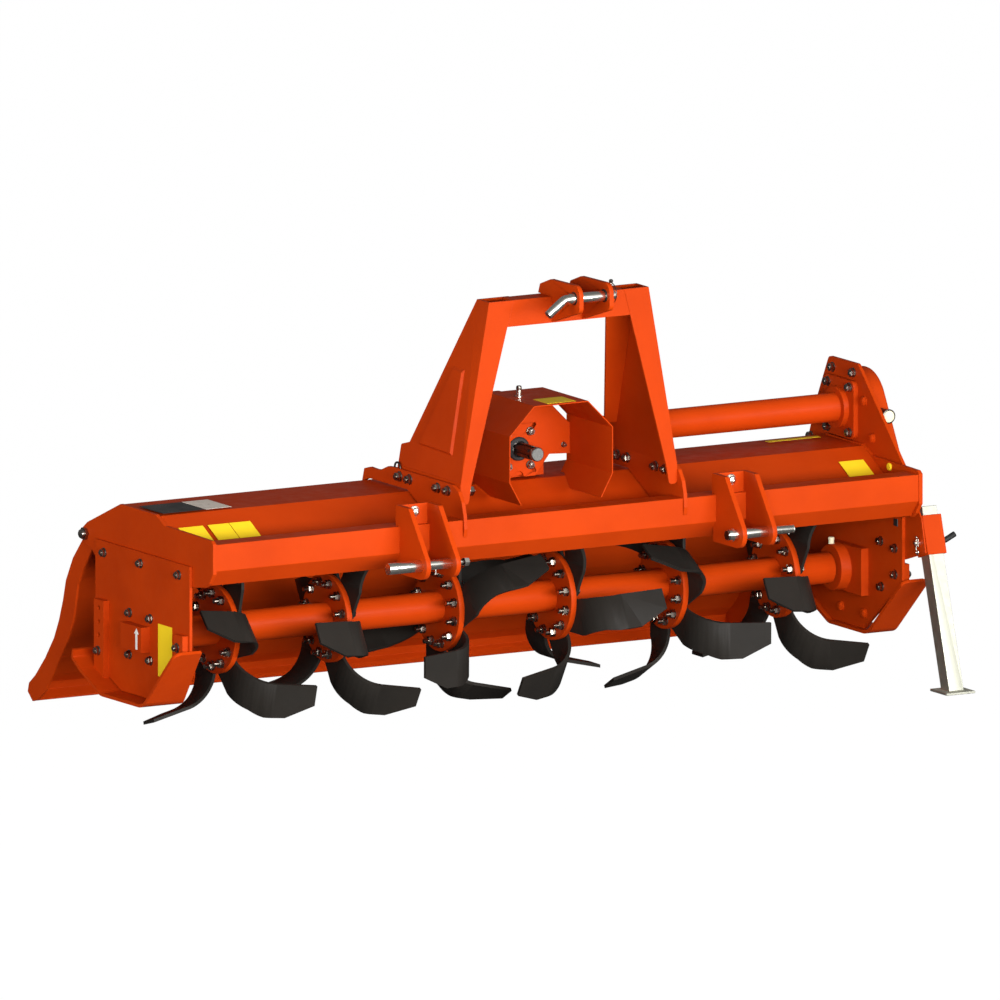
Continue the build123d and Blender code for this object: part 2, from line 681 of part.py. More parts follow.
# ---- lower hitch ------------------------------------------------------------------------
# the brackets stand over the beam's front edge and reach down behind its face
low_foot_y = beam_front + low_foot
lip_slope = (beam_lip[1] - beam_face_bottom) / (beam_lip[0] - beam_front)
low_foot_z = beam_face_bottom + low_foot * lip_slope
low_bottom = low_pin_z - low_nose
low_outline = [(beam_front, beam_top), (low_cap_rear, beam_top), (low_cap_rear, low_cap),
               (low_cap_front, low_cap, 6), (low_pin_y - low_reach, low_bottom, low_nose),
               (low_foot_y, low_bottom), (low_foot_y, low_foot_z), (beam_front, beam_face_bottom)]
low_tie = [(low_cap_rear, beam_top), (low_cap_rear, low_cap), (low_cap_rear - low_web, low_cap),
           (low_cap_rear - low_web, beam_top)]
for name, x in [("left_hitch_bracket", low_left_x), ("right_hitch_bracket", low_right_x)]:
    with BuildPart() as bracket:
        for x_plate in [x, x + low_pair]:
            with BuildSketch(side(x_plate)):
                outline(low_outline)
                with Locations((low_pin_y, low_pin_z)):
                    Circle(low_pin_shank / 2 + seat, mode=Mode.SUBTRACT)
            extrude(amount=low_plate)
        with BuildSketch(side(x)):
            outline(low_tie)
        extrude(amount=low_pair + low_plate)
    pieces[name] = bracket
left_in = low_left_x + low_pair + low_plate
right_out = low_right_x + low_pair + low_plate
# pin: its steps, as diameter, left end and right end
low_pins = {
    "left_hitch_pin": [(low_pin_d, low_left_x - low_pin_free, low_left_x),
                       (low_pin_shank, low_left_x, left_in),
                       (low_pin_end_d, left_in, left_in + low_pin_end)],
    "right_hitch_pin": [(low_pin_shank, low_right_x - low_stub, right_out),
                        (low_thread_d, right_out, right_out + low_thread)],
}
for name, steps in low_pins.items():
    with BuildPart() as pin:
        for diameter, x, x_end in steps:
            with BuildSketch(side(x)):
                with Locations((low_pin_y, low_pin_z)):
                    Circle(diameter / 2)
            extrude(amount=x_end - x)
    pieces[name] = pin

# ---- stand --------------------------------------------------------------------------------
stand_pin_z = 106
stand_pin_y = stand_foot_y + tan(radians(stand_lean)) * (rotor_height + stand_pin_z)
sleeve_hole = stand_tube + 2 * slack
sleeve_out = sleeve_hole + 2 * stand_sleeve_wall
stand_x = plate_right + stand_plate + sleeve_out / 2
# plane square to the leg, at the ground below its foot; local Y leans with the leg
stand_plane = Plane(origin=(stand_x, rotor_y + stand_foot_y, 0), x_dir=(1, 0, 0),
                    z_dir=(0, sin(radians(stand_lean)), cos(radians(stand_lean))))
stand_long = (rotor_height + stand_top) / cos(radians(stand_lean))
with BuildPart() as stand_leg:
    with BuildSketch(Plane(origin=(stand_x, rotor_y + stand_foot_y, 0))):
        Rectangle(stand_foot, stand_foot)
    extrude(amount=stand_foot_plate)
    # the tube starts below the ground, so that it meets the foot plate all round
    with BuildSketch(stand_plane.offset(-stand_tube)):
        Rectangle(stand_tube, stand_tube)
        Rectangle(stand_tube - 2 * stand_wall, stand_tube - 2 * stand_wall, mode=Mode.SUBTRACT)
    extrude(amount=stand_long + stand_tube)
    split(bisect_by=Plane.XY, keep=Keep.TOP)
pieces["stand_leg"] = stand_leg

sleeve_start = (rotor_height + sleeve_low) / cos(radians(stand_lean))
with BuildPart() as stand_sleeve:
    with BuildSketch(stand_plane.offset(sleeve_start)):
        Rectangle(sleeve_out, sleeve_out)
        Rectangle(sleeve_hole, sleeve_hole, mode=Mode.SUBTRACT)
    extrude(amount=sleeve_long)
    with BuildSketch(side(stand_x - sleeve_out)):
        with Locations((stand_pin_y, stand_pin_z)):
            Circle(stand_pin_d / 2 + seat)
    extrude(amount=2 * sleeve_out, mode=Mode.SUBTRACT)
pieces["stand_sleeve"] = stand_sleeve

bracket_outline = [(-196, 54), (-196, 190), (-264, 205), (-310, 205), (-342, 165), (-362, 84),
                   (-264, 54)]
with BuildPart() as stand_bracket:
    with BuildSketch(side(plate_right)):
        outline(bracket_outline)
        with Locations((stand_pin_y, stand_pin_z)):
            Circle(stand_pin_d / 2 + seat, mode=Mode.SUBTRACT)
    extrude(amount=stand_plate)
pieces["stand_bracket"] = stand_bracket

pin_y, pin_z = rotor_y + stand_pin_y, rotor_height + stand_pin_z
with BuildPart() as stand_pin:
    for out, reach in [(-1, stand_pin_in), (1, stand_pin_out)]:
        with BuildSketch(side(stand_x + out * (stand_tube / 2 + seat))):
            with Locations((stand_pin_y, stand_pin_z)):
                Circle(stand_pin_d / 2)
        extrude(amount=out * reach)
    grip = stand_x + stand_tube / 2 + seat + stand_pin_out
    bent_rod([(grip - 1, pin_y, pin_z), (grip + stand_handle_d / 2, pin_y, pin_z),
              (grip + stand_handle_d / 2 + stand_handle * cos(radians(stand_handle_turn)), pin_y,
               pin_z + stand_handle * sin(radians(stand_handle_turn)))], stand_handle_d, stand_handle_d)
pieces["stand_pin"] = stand_pin

for label, piece in pieces.items():
    piece.part.label = label
    export_step(piece.part, f"parts/{label}.step")
print(len(pieces), "pieces written")
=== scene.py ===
import math

import bmesh
import bpy
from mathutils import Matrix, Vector


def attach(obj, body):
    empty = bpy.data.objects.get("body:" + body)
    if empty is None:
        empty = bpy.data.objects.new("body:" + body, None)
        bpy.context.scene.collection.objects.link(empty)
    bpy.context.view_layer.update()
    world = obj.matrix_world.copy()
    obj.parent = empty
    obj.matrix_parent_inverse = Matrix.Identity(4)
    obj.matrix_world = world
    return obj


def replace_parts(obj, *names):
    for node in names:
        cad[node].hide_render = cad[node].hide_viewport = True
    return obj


# The looks of a three-point-hitch rotary tiller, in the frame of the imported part: +X across
# the machine towards the side drive, +Y to the rear, +Z up and the floor at Z = 0. "Left"
# and "right" are as seen from the front, where the tractor stands. Sizes and places are in
# millimetres, with Y and Z from the rotor's axis, and at() turns them into the frame's metres.

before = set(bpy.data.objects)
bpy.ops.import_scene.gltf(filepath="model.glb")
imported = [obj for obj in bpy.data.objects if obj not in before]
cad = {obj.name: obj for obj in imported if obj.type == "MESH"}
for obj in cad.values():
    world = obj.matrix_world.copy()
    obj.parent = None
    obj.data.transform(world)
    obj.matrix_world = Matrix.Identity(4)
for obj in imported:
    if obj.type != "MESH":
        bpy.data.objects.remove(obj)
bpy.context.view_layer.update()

AXIS_Y, AXIS_Z = -32, 245
LEFT, RIGHT = Vector((-1, 0, 0)), Vector((1, 0, 0))
FRONT, REAR = Vector((0, -1, 0)), Vector((0, 1, 0))
UP = Vector((0, 0, 1))


def at(x, y, z):
    """Point of the frame, from x and from y and z off the rotor's axis."""
    return Vector((x, AXIS_Y + y, AXIS_Z + z)) / 1000


# ---- materials ----------------------------------------------------------------------


class Shader:
    """A material and short ways to add and join its nodes."""

    def __init__(self, name, **inputs):
        self.material = bpy.data.materials.new(name)
        self.material.use_nodes = True
        self.tree = self.material.node_tree
        self.surface = self.tree.nodes["Principled BSDF"]
        self.coords = self.add("ShaderNodeTexCoord").outputs["Object"]
        for key, value in inputs.items():
            self.surface.inputs[key.replace("_", " ")].default_value = value

    def add(self, kind, **settings):
        node = self.tree.nodes.new(kind)
        for key, value in settings.items():
            setattr(node, key, value)
        return node

    def link(self, source, target):
        self.tree.links.new(source, target)

    def noise(self, scale, detail=4, roughness=0.5, stretch=None):
        node = self.add("ShaderNodeTexNoise")
        node.inputs["Scale"].default_value = scale
        node.inputs["Detail"].default_value = detail
        node.inputs["Roughness"].default_value = roughness
        source = self.coords
        if stretch:
            mapping = self.add("ShaderNodeMapping")
            mapping.inputs["Scale"].default_value = stretch
            self.link(source, mapping.inputs["Vector"])
            source = mapping.outputs["Vector"]
        self.link(source, node.inputs["Vector"])
        return node.outputs["Fac"]

    def ramp(self, source, low, high, start, end):
        """Runs from `low` to `high` as the source goes from `start` to `end`."""
        node = self.add("ShaderNodeMapRange")
        node.inputs["From Min"].default_value = start
        node.inputs["From Max"].default_value = end
        node.inputs["To Min"].default_value = low
        node.inputs["To Max"].default_value = high
        self.link(source, node.inputs["Value"])
        return node.outputs["Result"]

    def mix(self, factor, first, second):
        node = self.add("ShaderNodeMix", data_type="RGBA")
        for socket, value in ((node.inputs[6], first), (node.inputs[7], second)):
            if isinstance(value, tuple):
                socket.default_value = value
            else:
                self.link(value, socket)
        self.link(factor, node.inputs[0])
        return node.outputs[2]

    def bump(self, source, strength, distance):
        node = self.add("ShaderNodeBump")
        node.inputs["Strength"].default_value = strength
        node.inputs["Distance"].default_value = distance
        self.link(source, node.inputs["Height"])
        self.link(node.outputs["Normal"], self.surface.inputs["Normal"])

    def colour(self, source):
        self.link(source, self.surface.inputs["Base Color"])

    def rough(self, source):
        self.link(source, self.surface.inputs["Roughness"])


def grey(value):
    return (value, value, value, 1)


def painted(name, light, dark, roughness, peel, specular=0.06):
    """Sprayed paint: slightly uneven in tone, with a fine orange-peel surface."""
    s = Shader(name, Specular_IOR_Level=specular)
    tone = s.noise(5, detail=6, roughness=0.6)
    s.colour(s.mix(s.ramp(tone, 0, 1, 0.35, 0.7), light, dark))
    s.rough(s.ramp(s.noise(30), roughness - 0.06, roughness + 0.08, 0.3, 0.7))
    s.bump(s.noise(450, detail=2), peel, 0.0004)
    return s.material


def metal(name, light, dark, roughness, grain, stretch=None):
    """Bare or plated steel, with fine marks."""
    s = Shader(name, Metallic=1.0)
    marks = s.noise(grain, detail=5, roughness=0.65, stretch=stretch)
    s.colour(s.mix(s.ramp(marks, 0, 1, 0.3, 0.7), light, dark))
    s.rough(s.ramp(marks, roughness - 0.05, roughness + 0.12, 0.3, 0.7))
    s.bump(marks, 0.08, 0.0003)
    return s.material


ORANGE = (0.50, 0.044, 0.0024, 1)
ORANGE_DEEP = (0.44, 0.037, 0.0022, 1)
orange = painted("orange paint", ORANGE, ORANGE_DEEP, 0.42, 0.10)
orange_cast = painted("orange paint on a casting", ORANGE, (0.41, 0.034, 0.002, 1), 0.5, 0.5)
black = painted("black blade paint", (0.021, 0.018, 0.015, 1), (0.016, 0.014, 0.012, 1),
                0.5, 0.06, specular=0.12)
rubber = painted("black rubber", grey(0.012), grey(0.02), 0.55, 0.3, specular=0.4)
yellow = painted("yellow sticker", (0.95, 0.66, 0.02, 1), (0.88, 0.60, 0.02, 1), 0.4, 0.03)
cream = painted("cream plug", (0.85, 0.80, 0.55, 1), (0.75, 0.70, 0.48, 1), 0.35, 0.03)
white = painted("white sticker", (0.85, 0.83, 0.78, 1), (0.76, 0.74, 0.70, 1), 0.4, 0.03)
plate_dark = painted("dark data plate", (0.03, 0.028, 0.026, 1), (0.045, 0.04, 0.038, 1), 0.3, 0.03)
plate_pale = painted("pale data plate", (0.85, 0.75, 0.65, 1), (0.76, 0.67, 0.58, 1), 0.3, 0.03)
zinc = metal("zinc plate", (0.42, 0.37, 0.32, 1), (0.24, 0.21, 0.18, 1), 0.2, 300)
chrome = metal("bright pin steel", (0.92, 0.90, 0.82, 1), (0.80, 0.78, 0.70, 1), 0.2, 160, (0.2, 1, 1))
dark_steel = metal("oiled dark steel", (0.13, 0.115, 0.105, 1), (0.06, 0.055, 0.05, 1), 0.36, 220)
shaft_face = metal("turned shaft end", (0.22, 0.22, 0.21, 1), (0.15, 0.15, 0.145, 1), 0.4, 220)
stand_zinc = metal("galvanised stand", (0.58, 0.58, 0.49, 1), (0.55, 0.55, 0.465, 1), 0.5, 60)

node_looks = {
    "blade_set": black, "hinge_bolts": zinc, "top_link_pin": chrome,
    "left_hitch_pin": chrome, "right_hitch_pin": chrome, "stand_pin": rubber,
    "stand_leg": stand_zinc, "gearbox": orange_cast, "drive_case": orange_cast,
    "left_bearing": orange_cast, "right_bearing": orange_cast,
}
smooth_angle = math.radians(32)
weld_distance, edge_width = 0.00002, 0.0012
for name, node in cad.items():
    look = next((m for key, m in node_looks.items() if name.startswith(key)), orange)
    node.data.materials.clear()
    node.data.materials.append(look)
    weld = node.modifiers.new("weld", "WELD")
    weld.merge_threshold = weld_distance
    edges = node.modifiers.new("edges", "BEVEL")
    edges.width = edge_width
    edges.segments = 2
    edges.limit_method = "ANGLE"
    edges.angle_limit = smooth_angle
    edges.harden_normals = True
    edges.use_clamp_overlap = True

# ---- forms ----------------------------------------------------------------------------


class Piece:
    """A mesh of several forms in millimetres, riding on one CAD body."""

    def __init__(self, name, body, slot, *looks):
        self.name, self.body, self.slot, self.looks = name, body, slot, looks
        self.mesh = bmesh.new()

    def face(self, corners, look):
        face = self.mesh.faces.new(corners)
        face.material_index = look
        face.smooth = True

    def rings(self, rings, look):
        """Skin over closed rings of points; a ring of one point is a tip."""
        skins = [[self.mesh.verts.new(point) for point in ring] for ring in rings]
        for low, high in zip(skins, skins[1:]):
            count = max(len(low), len(high))
            for k in range(count):
                step = (k + 1) % count
                corners = [low[k % len(low)], low[step % len(low)],
                           high[step % len(high)], high[k % len(high)]]
                self.face(list(dict.fromkeys(corners)), look)
        return skins

    def turned(self, place, axis, profile, sides=24, turn=0, look=0):
        """Form round an axis, from its profile of radius and distance along the axis."""
        spin = axis.to_track_quat("Z", "Y")
        rings = []
        for radius, along in profile:
            count = sides if radius else 1
            angles = [math.radians(turn) + math.tau * k / count for k in range(count)]
            ring = [Vector((radius * math.cos(a), radius * math.sin(a), along)) for a in angles]
            rings.append([place + spin @ point / 1000 for point in ring])
        self.rings(rings, look)

    def slab(self, corners, offset, look=0, edge=0.0):
        """Plate between an outline and its copy moved by `offset`, its rim drawn in by `edge`."""
        middle = sum(corners, Vector()) / len(corners)
        shrunk = [c + (middle - c).normalized() * edge / 1000 + offset / 1000 for c in corners]
        low, high = self.rings([corners, shrunk], look)
        self.face(list(reversed(low)), look)
        self.face(high, look)

    def wire(self, points, radius, look=0, closed=False):
        """Round wire through the points."""
        count, sides = len(points), 8
        rings = []
        side = None
        for k, point in enumerate(points):
            after = points[(k + 1) % count] if closed or k + 1 < count else point
            before = points[k - 1] if closed or k else point
            run = (after - before).normalized()
            side = side or run.orthogonal()
            side = (side - run * side.dot(run)).normalized()
            other = run.cross(side)
            rings.append([point + (side * math.cos(a) + other * math.sin(a)) * radius / 1000
                          for a in (math.tau * n / sides for n in range(sides))])
        if closed:
            rings.append(rings[0])
        skins = self.rings(rings, look)
        if not closed:
            self.face(list(reversed(skins[0])), look)
            self.face(skins[-1], look)

    def hexagon(self, place, axis, across, height, turn=0):
        """Nut or bolt head with chamfered corners, from the face it stands on."""
        corner = across / math.sqrt(3)
        profile = [(corner, 0), (corner, height * 0.8), (corner * 0.87, height), (0, height)]
        self.turned(place, axis, profile, sides=6, turn=turn)

    def bolt(self, place, axis, across=19, height=9, washer=13, out=0, turn=0):
        """Bolt head or nut on its washer; `out` is how far the thread's end stands past it."""
        disc, thread = 2.5, 6
        self.turned(place, axis, [(washer, 0), (washer, 1.8), (washer - 0.8, disc), (0, disc)])
        self.hexagon(place + axis * (disc / 1000), axis, across, height, turn)
        if out:
            end = [(thread, 0), (thread, out - 0.5), (thread - 1.2, out + 0.5), (0, out + 0.5)]
        else:
            end = [(across * 0.36, 0), (across * 0.3, 1.6), (0, 2.2)]
        self.turned(place + axis * (height + disc - 0.5) / 1000, axis, end, sides=14)

    def done(self):
        bmesh.ops.recalc_face_normals(self.mesh, faces=self.mesh.faces)
        data = bpy.data.meshes.new(self.name)
        self.mesh.to_mesh(data)
        self.mesh.free()
        for look in self.looks:
            data.materials.append(look)
        data.set_sharp_from_angle(angle=smooth_angle)
        piece = bpy.data.objects.new(self.name, data)
        bpy.context.collection.objects.link(piece)
        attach(piece, self.body)
        return piece


def arc(centre, first, second, radius, start, end, steps):
    """Points on an arc round `centre`, turning from the direction `first` to `second`."""
    angles = [math.radians(start + (end - start) * k / steps) for k in range(steps + 1)]
    return [centre + (first * math.cos(a) + second * math.sin(a)) * radius / 1000 for a in angles]


# ---- rotor ----------------------------------------------------------------------------
flange_turns = [15, 0, -30, -60, -90, -120]
flange_start, flange_pitch, flange_plate, blade_plate = -796, 311, 15, 8
bolt_circle, flange_bolts = 88.5, 12
for index, turn in enumerate(flange_turns):
    nut_x = flange_start + index * flange_pitch
    head_x = nut_x + flange_plate + blade_plate
    nuts = Piece(f"flange_bolts_{index + 1}", "rotor", "zinc_plate", zinc)
    for k in range(flange_bolts):
        angle = math.radians(15 + 360 / flange_bolts * k - turn)
        y, z = bolt_circle * math.cos(angle), bolt_circle * math.sin(angle)
        nuts.bolt(at(nut_x, y, z), LEFT, across=19, height=10, washer=12, out=12, turn=37 * k)
        nuts.bolt(at(head_x, y, z), RIGHT, across=19, height=7, washer=11, turn=23 * k)
    nuts.done()

# ---- end plates -----------------------------------------------------------------------
left_face, left_strap_face, bearing_face = -1013, -1029, -1037
left_bolts = Piece("left_plate_bolts", "root", "zinc_plate", zinc)
for x, y, z in [
    (left_face, 147, 184), (left_face, -28, 184), (left_face, -212, 184),
    (left_face, 24, 56), (left_face, -76, 56), (left_face, 24, -46), (left_face, -76, -46),
    (left_strap_face, 148, -54), (left_strap_face, -231, 10),
]:
    left_bolts.bolt(at(x, y, z), LEFT, across=17, height=8, washer=12, out=3, turn=y)
hinge_dome = [(12, 0), (12, 3), (10.5, 7), (6, 10), (0, 11)]
left_bolts.turned(at(left_face, 250, 214), LEFT, hinge_dome, sides=20)
left_bolts.done()

arrow = Piece("arrow", "root", "orange_paint", white)
arrow_y, arrow_low, arrow_neck, arrow_tip, stem_half, head_half = -50, -21, 17, 31, 4.5, 11
arrow_outline = [
    (-stem_half, arrow_low), (stem_half, arrow_low), (stem_half, arrow_neck),
    (head_half, arrow_neck), (0, arrow_tip), (-head_half, arrow_neck), (-stem_half, arrow_neck),
]
arrow.slab([at(bearing_face - 0.1, arrow_y + y, z) for y, z in arrow_outline], LEFT * 0.4)
arrow.done()

right_face, drive_face, right_strap_face = 965, 953, 989
right_bolts = Piece("right_plate_bolts", "root", "zinc_plate", zinc)
for x, y, z in [
    (right_face, 69, 475), (right_face, -30, 476), (right_face, 174, 291),
    (right_face, -230, 77), (right_face, -230, 13), (right_face, -165, -26), (right_face, -162, 85),
    (drive_face, 72, 441), (drive_face, -32, 441), (drive_face, 72, 331), (drive_face, -32, 331),
]:
    right_bolts.bolt(at(x, y, z), LEFT, across=18, height=9, washer=12, turn=y)
for y, z in [(146, -50), (-239, 13)]:
    right_bolts.bolt(at(right_strap_face, y, z), RIGHT, across=17, height=8, washer=12, out=3)
right_bolts.done()

painted_bolts = Piece("painted_bolts", "root", "orange_paint", orange)
for y, z in [(-85, -103), (27, -102), (-124, 330), (-84, 415)]:
    painted_bolts.bolt(at(right_face, y, z), LEFT, across=19, height=6, washer=12)
painted_bolts.done()

# ---- headstock ------------------------------------------------------------------------
base_out, web_in, foot_bolt_z = 310.5, 294.5, 339
mast_bolts = Piece("headstock_bolts", "root", "zinc_plate", zinc)
for y in [-58, -106, -241, -289]:
    for x, way, height, out, turn in [
        (-base_out, LEFT, 10, 4, y), (web_in, LEFT, 10, 4, y + 20),
        (base_out, RIGHT, 8, 0, y), (-web_in, RIGHT, 8, 0, y),
    ]:
        mast_bolts.bolt(at(x, y, foot_bolt_z), way, height=height, out=out, turn=turn)
stay_y, stay_z, spacer = -300, 336, 32
mast_bolts.turned(at(-web_in, stay_y, stay_z), RIGHT, [(9, 0), (9, spacer), (0, spacer)], sides=16)
mast_bolts.bolt(at(spacer - web_in, stay_y, stay_z), RIGHT, across=22, height=12, washer=14, out=4)
mast_bolts.done()

# pressed panels on the legs' webs, which lean inwards with height
mast_foot, mast_foot_half, mast_lean, panel_sunk, panel_thick = 357, 300.5, 79 / 440, 0.5, 7
panel_corners = [(-222, 629), (-117, 423), (-274, 419), (-269, 627)]
for name, way in [("left_web_panel", -1), ("right_web_panel", 1)]:
    panel = Piece(name, "root", "orange_paint", orange)
    corners = []
    for y, z in panel_corners:
        web_face = mast_foot_half - panel_sunk - mast_lean * (z - mast_foot)
        corners.append(at(way * web_face, y, z))
    panel.slab(corners, RIGHT * (way * panel_thick), edge=9)
    panel.done()

# ---- top link -------------------------------------------------------------------------
top_y, top_z, ear_in, ear_out, clip_x = -440, 808, 36, 48, 55
# the dark rings on both faces of each ear round the pin are painted shade, the shadow in the clearance
# of the pin holes
hole_shade_ring = [(12.7, 0), (12.7, 1.6), (15, 1.6), (16.5, 0)]
clip_ball = [(0, 0), (4, 1.2), (5.6, 5), (4, 8.8), (0, 10)]
clip = Piece("top_pin_clip_and_hole_shade", "root", "zinc_plate", zinc, dark_steel)
for x, way in [(-ear_out, LEFT), (-ear_in, RIGHT), (ear_in, LEFT), (ear_out, RIGHT)]:
    clip.turned(at(x, top_y, top_z), way, hole_shade_ring, look=1)
clip.wire([at(clip_x, top_y, top_z + z) for z in (-20, 0, 20, 30)], 3.4)
clip.turned(at(clip_x, top_y, top_z + 29), UP, clip_ball, sides=16, look=1)
clip.wire(arc(at(clip_x, top_y - 3, top_z + 6), UP, FRONT, 24, 10, 170, 14), 1.1, look=1)
clip.done()

# ---- lower hitch ----------------------------------------------------------------------
low_y, low_z = -460, 197
tie_x, tie_z, tie_front, tie_rear = 439, 310, -350, -342
tie_washer, washer_front = [(14, 0), (14, 2), (13, 3), (0, 3)], tie_front - 3
tie_head = [(10, 0), (10, 6), (7.5, 9), (3.5, 10), (3.5, 7), (0, 7)]
low_bolts = Piece("hitch_bolts", "root", "zinc_plate", chrome, dark_steel)
for x in [-tie_x, tie_x]:
    low_bolts.turned(at(x, tie_front, tie_z), FRONT, tie_washer)
    low_bolts.turned(at(x, washer_front, tie_z), FRONT, tie_head)
    low_bolts.bolt(at(x, tie_rear, tie_z), REAR, across=17, height=9, washer=12, out=3)
# washer, nut and clip of the left pin
washer_x, left_nut_x, left_clip_x = -391, -366, -443
low_bolts.turned(at(washer_x, low_y, low_z), RIGHT, [(6.4, 0), (13, 0), (13, 2.5), (6.4, 2.5)])
low_bolts.hexagon(at(left_nut_x, low_y, low_z), RIGHT, across=19, height=13)
low_bolts.wire([at(left_clip_x, low_y, low_z + z) for z in (-10, -16, -24)], 2.6)
# thread on the right pin's outer end, with the end's chamfer
turns, thread_start, thread_end, pitch, groove, crest = 22, 487, 549, 2.6, 8.9, 10.2
profile = []
for k in range(turns):
    profile += [(groove, 1 + k * pitch), (crest, 1 + (k + 0.5) * pitch)]
thread_chamfer = [(10, 0), (10.4, 0.8), (9.4, 2), (0, 2)]
low_bolts.turned(at(thread_start, low_y, low_z), RIGHT, profile, sides=20, look=1)
low_bolts.turned(at(thread_end - 2, low_y, low_z), RIGHT, thread_chamfer, sides=20)
# turned inner end of the right pin and the clip ring behind it
pin_end, pin_end_x, ring_x = [(12.6, -4), (12.7, -1), (11, 0.4), (0, 0.4)], 365, 380
low_bolts.turned(at(pin_end_x, low_y, low_z), LEFT, pin_end, look=1)
low_bolts.wire(arc(at(ring_x, low_y, low_z), UP, FRONT, 14.5, 0, 330, 22), 1.8)
low_bolts.done()

# ---- gearbox, shaft and guard ---------------------------------------------------------
shaft_z, shaft_end, guard_face = 384, -184, -92
groove_rear, groove_front, spline_end = shaft_end + 22, shaft_end + 14, shaft_end + 8
spline_root, spline_crest, teeth, tooth_half = 14.4, 17.4, 6, 15
shaft = Piece("splined_shaft", "input_shaft", "zinc_plate", dark_steel, shaft_face)


def spline_ring(y):
    """Outline of the splines across the shaft."""
    ring = []
    for tooth in range(teeth):
        middle = 360 / teeth * tooth
        for turn, radius in [
            (-tooth_half, spline_root), (-tooth_half, spline_crest), (0, spline_crest),
            (tooth_half, spline_crest), (tooth_half, spline_root),
        ]:
            a = math.radians(middle + turn)
            ring.append(at(radius * math.sin(a), y, shaft_z + radius * math.cos(a)))
    return ring


for start, end in [(guard_face + 1, groove_rear), (groove_front, spline_end)]:
    shaft.rings([spline_ring(start), spline_ring(end)], 0)
for y in (groove_rear, groove_front):
    shaft.rings([[at(0, y, shaft_z)], spline_ring(y)], 0)
shaft.turned(at(0, groove_rear + 1, shaft_z), FRONT, [(14, 0), (14, 10)])
shaft.rings([spline_ring(spline_end), [at(0, spline_end, shaft_z)]], 0)
end_disc = [(17, 0), (17.2, 0.6), (17.2, 7), (15.2, 9), (0, 9)]
hub, hub_rear = [(0, 0), (24.8, 0), (24.8, 37.5), (17, 38), (15, 39)], -54
shaft.turned(at(0, spline_end + 1, shaft_z), FRONT, end_disc, sides=32, look=1)
shaft.turned(at(0, hub_rear, shaft_z), FRONT, hub)
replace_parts(shaft.done(), "pto_shaft")

seal_ring = [(29, -4), (29, 2), (26, 4), (20, 4), (18.2, 1), (18.2, -3)]
guard = Piece("guard_fittings", "root", "zinc_plate", zinc, rubber, chrome)
guard.turned(at(0, guard_face, shaft_z), FRONT, seal_ring, look=1)
for x, z in [(-31, 343), (-31, 425), (31, 343), (31, 425)]:
    guard.bolt(at(x, guard_face, z), FRONT, across=17, height=8, washer=11, turn=z)
guard.bolt(at(124, guard_face, shaft_z), FRONT, across=10, height=6, washer=7)
breather_x, breather_y, guard_roof, stem_height = -43, -167, 526, 18
stem = [(9, 0), (9, 3), (6.6, 3.5), (6.6, stem_height), (0, stem_height)]
cap = [(0, 0), (6.5, 0), (7, 3), (6.5, 8), (5, 9.5), (0, 10)]
guard.turned(at(breather_x, breather_y, guard_roof), UP, stem, sides=20, look=2)
guard.turned(at(breather_x, breather_y, guard_roof + stem_height), UP, cap, sides=20)
guard.done()

# ---- stand ----------------------------------------------------------------------------
stand_x, stand_y, stand_z, sleeve_half, pin_end_inner, pin_clip_x = 1003, -333.7, 106, 21, 45, 964
stand_clip = Piece("stand_clip", "root", "zinc_plate", chrome, zinc)
for x, way, profile, sides in [
    (stand_x - sleeve_half, LEFT, [(6.1, 0), (11, 0), (11, 3), (6.1, 3)], 24),
    (stand_x - pin_end_inner, RIGHT, [(0, -0.6), (5, -0.6), (6.3, 1), (6.3, 20)], 20),
    (stand_x + sleeve_half, RIGHT, [(6.3, 0), (6.3, 14), (7, 14.5)], 20),
]:
    stand_clip.turned(at(x, stand_y, stand_z), way, profile, sides=sides)
hook = arc(at(pin_clip_x, stand_y - 4, stand_z + 8), REAR, UP, 4, 0, 180, 8)
eye = arc(at(pin_clip_x, stand_y - 4, stand_z - 22), REAR, UP, 4.6, 0, -330, 16)
for points in [
    [at(pin_clip_x, stand_y, stand_z + z) for z in (16, 6, -8, -22)],
    [at(pin_clip_x, stand_y - 8, stand_z + z) for z in (8, 0, -8)],
    hook,
    eye,
]:
    stand_clip.wire(points, 2)
stand_clip.done()

# ---- plugs, nipple, ring, stickers and a painted shade square -------------------------
filler_x, filler_y, filler_z = 1003, -92, 381
filler_spout = [(15, -10), (15, 36), (17.5, 37), (17.5, 43), (14.5, 44), (12, 42)]
filler_plug = [(14, 40), (14, 44), (12.5, 45), (0, 45.5)]
nipple = [(7, 0), (7, 11), (8, 12), (8, 16), (6, 18), (0, 18)]
hole_plug = [(9.5, 0), (9.5, 3), (8, 4.5), (0, 5)]
nipple_place, hole_place, ring_place = at(926, 10, 54), at(955, -222, 276), at(-305.5, -38, 357)
